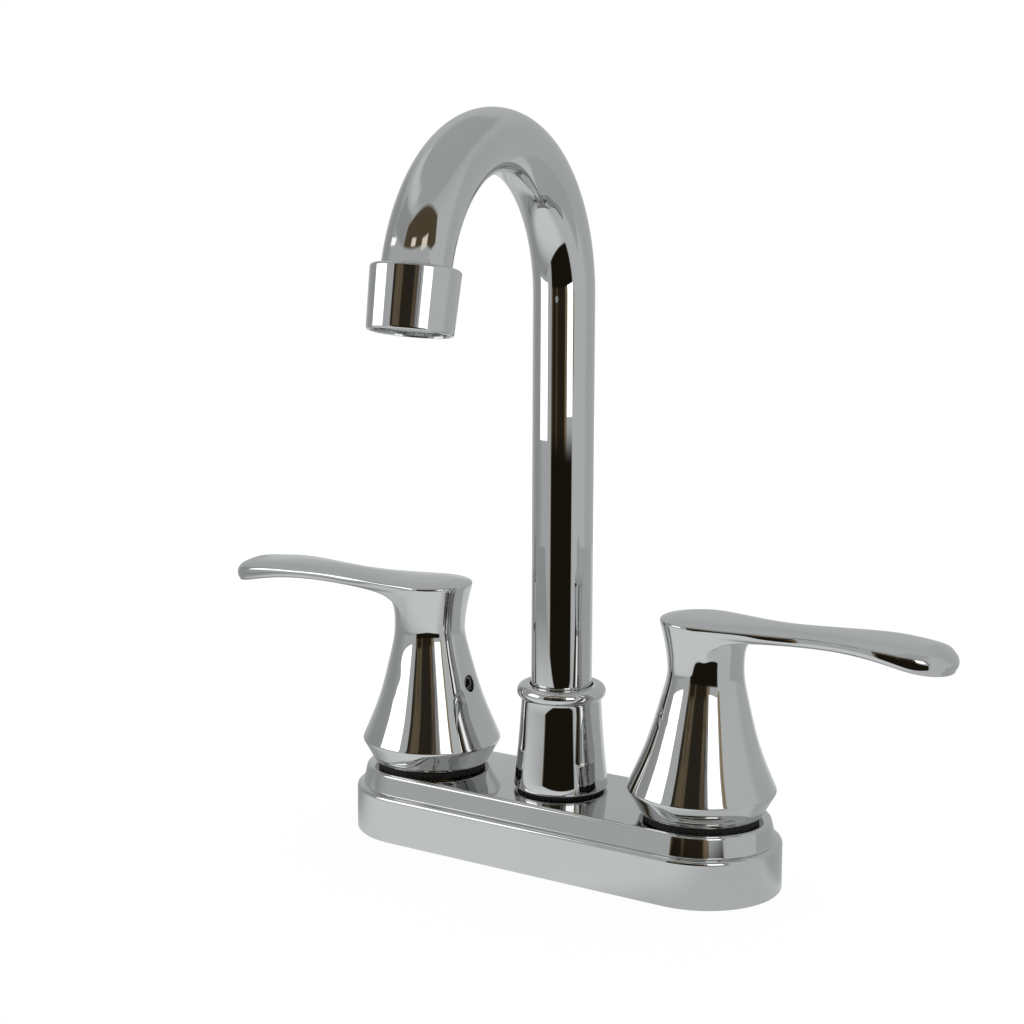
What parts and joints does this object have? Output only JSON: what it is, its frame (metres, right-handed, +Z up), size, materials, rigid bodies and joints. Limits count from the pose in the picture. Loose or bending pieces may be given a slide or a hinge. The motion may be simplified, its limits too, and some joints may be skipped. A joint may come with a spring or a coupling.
{
  "type": "bathroom sink faucet",
  "caption": "Deck-mounted two-handle bathroom sink faucet with a stepped oval base, a high swivel gooseneck spout and lever handles.",
  "frame": {"origin": "on the deck's top face, at the spout's swivel axis, midway between the two valve axes", "axes": "+Z up along the spout's post; X along the base with the cold side at +X; the user stands on the -Y side"},
  "size_m": [0.2616, 0.1336, 0.2874],
  "materials": {
    "chrome": "polished chrome plate",
    "brass": "machined brass",
    "steel": "plain stainless steel",
    "ceramic": "lapped ceramic",
    "black_rubber": "matt rubber",
    "black_plastic": "moulded",
    "white_plastic": "moulded"
  },
  "bodies": {
    "root": {"base_plate": "chrome", "base_gasket": "black_rubber", "water_body": "brass", "spout_socket": "brass", "wear_ring": "white_plastic", "collar_gasket": "black_rubber", "spout_collar": "chrome", "hot_shank": "brass", "hot_deck_washer": "steel", "hot_mounting_nut": "brass", "hot_seat_seal": "black_rubber", "hot_fixed_disc": "ceramic", "hot_cartridge": "brass", "hot_housing_ring": "black_rubber", "hot_lock_nut": "brass", "hot_glide_ring": "black_plastic", "cold_shank": "brass", "cold_deck_washer": "steel", "cold_mounting_nut": "brass", "cold_seat_seal": "black_rubber", "cold_fixed_disc": "ceramic", "cold_cartridge": "brass", "cold_housing_ring": "black_rubber", "cold_lock_nut": "brass", "cold_glide_ring": "black_plastic"},
    "hot_lever": {"hot_handle": "chrome", "hot_stem": "brass", "hot_turning_disc": "ceramic", "hot_stem_ring": "black_rubber", "hot_stem_clip": "steel", "hot_set_screw": "steel"},
    "cold_lever": {"cold_handle": "chrome", "cold_stem": "brass", "cold_turning_disc": "ceramic", "cold_stem_ring": "black_rubber", "cold_stem_clip": "steel", "cold_set_screw": "steel"},
    "spout": {"spout_tube": "chrome", "spout_sleeve": "brass", "spout_rings": "black_rubber", "snap_ring": "steel", "ferrule": "brass", "aerator_shell": "chrome", "aerator_gasket": "black_rubber", "aerator_insert": "white_plastic", "aerator_screen": "steel"}
  },
  "joints": [
    {"name": "hot_turn", "type": "hinge", "parent": "root", "child": "hot_lever", "pos_m": [-0.0508, 0, 0], "axis": [0, 0, 1], "range_deg": [0, 90]},
    {"name": "cold_turn", "type": "hinge", "parent": "root", "child": "cold_lever", "pos_m": [0.0508, 0, 0], "axis": [0, 0, -1], "range_deg": [0, 90]},
    {"name": "spout_swivel", "type": "hinge", "parent": "root", "child": "spout", "pos_m": [0, 0, 0], "axis": [0, 0, 1], "continuous": true}
  ]
}
